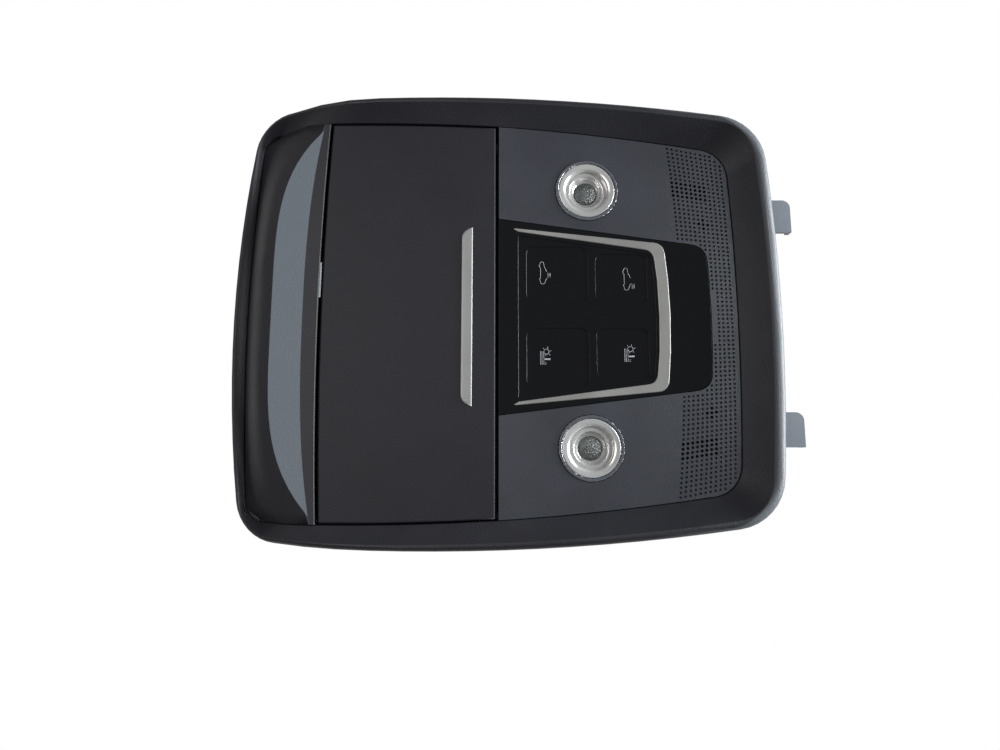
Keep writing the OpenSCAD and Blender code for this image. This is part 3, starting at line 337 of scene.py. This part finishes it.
away = reckon("DIVIDE", reckon("ABSOLUTE", spot.outputs["Y"]), half_width)
crease = curved(crease_middle, crease_swing, 2.6)
crest = curved(crest_middle, crest_swing, 4)
gap_edge = curved(gap_middle, gap_swing, 2.0)
left_of_crease = reckon("DIVIDE", reckon("SUBTRACT", crease, spot.outputs["X"]), facet_blur)
right_of_crest = reckon("DIVIDE", reckon("SUBTRACT", spot.outputs["X"], crest), facet_blur)
facet = clamped(reckon("MINIMUM", left_of_crease, right_of_crest))
# Painted shade: the strip beside the gap is coloured nearly black where the lid shades it.
shaded_brink = reckon("GREATER_THAN", spot.outputs["X"], gap_edge)
facet_light_tone = tinted(facet, nodes["Color Ramp"].outputs["Color"], facet_painted_light_grey)
gap_shade_tone = tinted(shaded_brink, facet_light_tone, gap_painted_shade)
links.new(gap_shade_tone, nodes["Principled BSDF"].inputs["Base Color"])
finished("end_panel", end_grain, angle=40, facing=0.15)

# LAMP PANEL
# The flat panel that carries the lamps and the touch panel, moulded with a field of
# small blind holes; those over the microphones go right through.
grey_grain = moulded("grey_grain", (0.0200, 0.0214, 0.0265), (0.0248, 0.0266, 0.0328), 0.36, 0.5,
                     depth=0.035, spread=0.04)
frame["nodes"]["lamp_panel"].data.materials.clear()
frame["nodes"]["lamp_panel"].data.materials.append(grey_grain)

# TOUCH PANEL
# Black gloss plastic over the touch foil, with four dimples for the fingers. Each
# dimple has a printed sign: the roof open or tilted, the shade open or closed.
gloss = bpy.data.materials.new("black_gloss")
gloss.use_nodes = True
nodes, links = gloss.node_tree.nodes, gloss.node_tree.links
skin = nodes["Principled BSDF"]
skin.inputs["Base Color"].default_value = (0.004, 0.004, 0.0045, 1)
skin.inputs["Specular IOR Level"].default_value = 0.3
place = nodes.new("ShaderNodeTexCoord")
dust = nodes.new("ShaderNodeTexNoise")
dust.inputs["Scale"].default_value = 60
dust.inputs["Detail"].default_value = 5
haze = nodes.new("ShaderNodeMapRange")
haze.inputs["To Min"].default_value = 0.05
haze.inputs["To Max"].default_value = 0.12
links.new(place.outputs["Object"], dust.inputs["Vector"])
links.new(dust.outputs["Fac"], haze.inputs["Value"])
links.new(haze.outputs["Result"], skin.inputs["Roughness"])
finished("touch_panel", gloss, edge=0.3)


dimple_floor, panel_slope = 45.28, tan(radians(2.4))


def sign(name, centre, lines, dots=()):
    """A printed sign on the dimple's floor: strokes drawn point by point, then given a body."""
    def on_floor(u, v):
        x, y = centre[0] + u, centre[1] + v
        return Vector((x, y, dimple_floor - x * panel_slope)) * mm

    strokes = []
    for points, half in lines:
        path = [on_floor(u, v) for u, v in points]
        bpy.ops.object.select_all(action="DESELECT")
        bpy.ops.mesh.primitive_plane_add(size=0.1 * mm, location=path[0])
        bpy.ops.object.mode_set(mode="EDIT")
        bpy.ops.mesh.merge(type="CENTER")
        for start, end in zip(path, path[1:]):
            bpy.ops.mesh.extrude_region_move(TRANSFORM_OT_translate={"value": end - start})
        bpy.ops.object.mode_set(mode="OBJECT")
        strokes.append((bpy.context.object, half))
    for (u, v), radius, half in dots:
        bpy.ops.object.select_all(action="DESELECT")
        bpy.ops.mesh.primitive_circle_add(vertices=24, radius=radius * mm, location=on_floor(u, v))
        strokes.append((bpy.context.object, half))
    for stroke, half in strokes:
        bpy.ops.object.select_all(action="DESELECT")
        stroke.select_set(True)
        bpy.context.view_layer.objects.active = stroke
        bpy.ops.object.convert(target="CURVE")
        stroke.data.bevel_depth = half * mm
        stroke.data.bevel_resolution = 1
        stroke.data.use_fill_caps = True
        bpy.ops.object.convert(target="MESH")
    bpy.ops.object.select_all(action="DESELECT")
    for stroke, _ in strokes:
        stroke.select_set(True)
    bpy.ops.object.join()
    made = bpy.context.object
    bpy.ops.object.transform_apply(location=True, rotation=True, scale=True)
    bpy.ops.object.mode_set(mode="EDIT")
    bpy.ops.mesh.select_all(action="SELECT")
    bpy.ops.mesh.normals_make_consistent(inside=False)
    bpy.ops.object.mode_set(mode="OBJECT")
    made.name = made.data.name = name
    made.data.materials.clear()
    made.data.materials.append(ink)
    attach(made, "console")


ink = moulded("sign_ink", (0.30, 0.31, 0.32), (0.36, 0.37, 0.38), 0.55, 0.3, 2500, 0.005)
car = [(1.45, 0.6), (0.82, 1.97), (0.27, 3.3), (0, 5.1), (-0.82, 5.5), (-1.37, 5.24),
       (-1.77, 4.29), (-2.18, 3.47), (-1.5, 2.24), (-1.5, -2.27), (-2.05, -3.1), (-1.77, -3.5),
       (-1.37, -5.0), (-0.68, -5.5), (0.27, -5.1), (0.68, -4.3), (1.37, -2.54)]
thin, bold, bar = 0.14, 0.24, 0.45
sign("sign_roof_open", (21.9, 20.6), [
    (car, thin), ([(2.05, 0.2), (2.05, -2.13)], thin), ([(3.0, 0.05), (3.0, -2.1)], thin),
    ([(3.0, -0.6), (3.0, -1.4)], bold)])
sign("sign_roof_tilt", (61.5, 18.0), [
    (car, thin), ([(1.4, -2.4), (2.1, -2.27), (2.2, -4.6)], thin),
    ([(3.1, -2.3), (3.1, -4.6)], thin), ([(3.1, -3.1), (3.1, -3.9)], bold)])
sun, sun_radius, ray_ends = (0.4, 2.3), 1.2, (1.6, 2.3)
rays = [([(sun[0] + r * cos(radians(a)), sun[1] + r * sin(radians(a))) for r in ray_ends], thin)
        for a in (130, 72, 11, -42)]
blind = [([(u, 2.5), (u, -3.8)], thin) for u in (-2.3, -1.64, -0.82)]
bars = [([(-0.55, -1.23), (2.2, -1.23)], bar), ([(0.14, -2.7), (0.14, -3.8)], thin),
        ([(0.14, 1.4), (0.14, 0.3)], thin)]
for name, centre in (("sign_shade_open", (22.4, -19.4)), ("sign_shade_close", (61.6, -17.9))):
    sign(name, centre, rays + blind + bars, [(sun, sun_radius, thin)])

# SATIN TRIM
# A U-shaped moulding round the keys and a slim grip strip on the lid, both painted
# satin silver, the strip a little darker.
satin = moulded("satin_silver", (0.245, 0.24, 0.22), (0.30, 0.295, 0.275), 0.3, 0.5, 3000, 0.01,
                metallic=0.5)
finished("touch_trim", satin, angle=60, edge=0.8, steps=4)
pale_satin = moulded("pale_satin", (0.205, 0.2, 0.19), (0.245, 0.24, 0.228), 0.36, 0.5, 3000, 0.01,
                     metallic=0.35)
finished("lid_strip", pale_satin, edge=0.1)

# LAMPS
# Each lamp is a stack of turned parts: a clear outer ring, a plated ring, a polished
# dish and a pebbled lens over the light source, in a dark cup.
chrome = moulded("bright_chrome", (0.54, 0.53, 0.505), (0.62, 0.61, 0.585), 0.19, 0.5, 900, 0.004,
                 metallic=0.62, spread=0.04)
clear = bpy.data.materials.new("clear_plastic")
clear.use_nodes = True
nodes, links = clear.node_tree.nodes, clear.node_tree.links
skin = nodes["Principled BSDF"]
skin.inputs["Base Color"].default_value = (0.16, 0.17, 0.19, 1)
skin.inputs["Transmission Weight"].default_value = 0.6
skin.inputs["IOR"].default_value = 1.49
place = nodes.new("ShaderNodeTexCoord")
swirl = nodes.new("ShaderNodeTexNoise")
swirl.inputs["Scale"].default_value = 200
haze = nodes.new("ShaderNodeMapRange")
haze.inputs["To Min"].default_value = 0.12
haze.inputs["To Max"].default_value = 0.22
links.new(place.outputs["Object"], swirl.inputs["Vector"])
links.new(swirl.outputs["Fac"], haze.inputs["Value"])
links.new(haze.outputs["Result"], skin.inputs["Roughness"])
pebbled = moulded("pebbled_lens", (0.03, 0.034, 0.03), (0.07, 0.075, 0.07), 0.12, 0.8, 1100, 0.25,
                  spread=0.05)
black_plain = moulded("black_plain", (0.012, 0.012, 0.013), (0.017, 0.017, 0.018), 0.5,
                      cells=2500, depth=0.02)
for side in ("upper", "lower"):
    finished("lamp_ring_" + side, clear)
    finished("lamp_chrome_" + side, chrome, angle=60)
    finished("lamp_dish_" + side, chrome, angle=60)
    finished("lamp_lens_" + side, pebbled, angle=60)
    finished("lamp_housing_" + side, black_plain, angle=40)

# LID AND BIN
# The lid is a flat grained moulding with eased edges; the bin behind it holds a pair
# of glasses and swings with it on two steel pins.
lid_grain = moulded("lid_grain", (0.0080, 0.0077, 0.0100), (0.0108, 0.0104, 0.0130), 0.55, 0.26,
                    depth=0.04)
finished("lid", lid_grain, angle=40)
finished("bin", black_plain, angle=30)
felt = moulded("felt", (0.012, 0.012, 0.012), (0.03, 0.03, 0.03), 0.95, 0.1, 4000, 0.3)
for node in ("bin_liner", "foot_pad_upper", "foot_pad_lower"):
    frame["nodes"][node].data.materials.clear()
    frame["nodes"][node].data.materials.append(felt)

# CARRIER
# The light grey moulding behind the face, with the compartment's well, hinge ears,
# ribs, feet and the hooks that show beside the bezel. A small tongue stands in the gap
# between end panel and lid, its grey painted paler than the carrier's as painted light.
grey_plain = moulded("carrier_grey", (0.092, 0.103, 0.118), (0.118, 0.130, 0.146), 0.5,
                     cells=2500, depth=0.02)
finished("carrier", grey_plain, angle=30)
# Painted light: the tongue is the carrier's plastic, coloured paler so it reads lit down in the narrow
# gap.
tongue_lit_grey = moulded("tongue_painted_light_grey", (0.30, 0.31, 0.32), (0.36, 0.37, 0.38), 0.5,
                     cells=2500, depth=0.02)
tongue_middle = (-83.7 * mm, 17.3 * mm, 45.0 * mm)
tongue_size = (1.1 * mm, 17 * mm, 0.8 * mm)
bpy.ops.object.select_all(action="DESELECT")
bpy.ops.mesh.primitive_cube_add(size=1, location=tongue_middle)
tongue = bpy.context.object
tongue.name = tongue.data.name = "gap_tongue"
bpy.ops.object.mode_set(mode="EDIT")
bpy.ops.mesh.select_all(action="SELECT")
bpy.ops.transform.resize(value=tongue_size, center_override=tongue_middle)
bpy.ops.mesh.bevel(offset=0.1 * mm, segments=2)
bpy.ops.object.mode_set(mode="OBJECT")
bpy.ops.object.transform_apply(location=True, rotation=True, scale=True)
tongue.data.materials.append(tongue_lit_grey)
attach(tongue, "console")

# SMALL PARTS
# Screws, pins, clips and microphones are zinc-plated steel, bumpers and boots are
# rubber, and the damper's gear, the latch's plunger, the light sources and the light
# guide are white plastic.
steel = moulded("zinc_steel", (0.42, 0.42, 0.43), (0.5, 0.5, 0.5), 0.32, 0.5, 2000, 0.01, 1.0)
rubber = moulded("soft_rubber", (0.014, 0.014, 0.014), (0.02, 0.02, 0.02), 0.8, 0.3, 2500, 0.02)
white = moulded("white_plastic", (0.62, 0.62, 0.58), (0.7, 0.7, 0.66), 0.45, 0.5, 2500, 0.01)
board_green = moulded("board_green", (0.012, 0.07, 0.03), (0.02, 0.1, 0.045), 0.3, 0.5, 600, 0.01)
looks = {"steel": steel, "soft_rubber": rubber, "white_plastic": white, "board": board_green,
         "black_part": black_plain}
slots = {part["node"]: part["material_slot"] for part in frame["record"]["subparts"]}
for node, piece in frame["nodes"].items():
    if slots[node] in looks and not piece.hide_render:
        piece.data.materials.clear()
        piece.data.materials.append(looks[slots[node]])
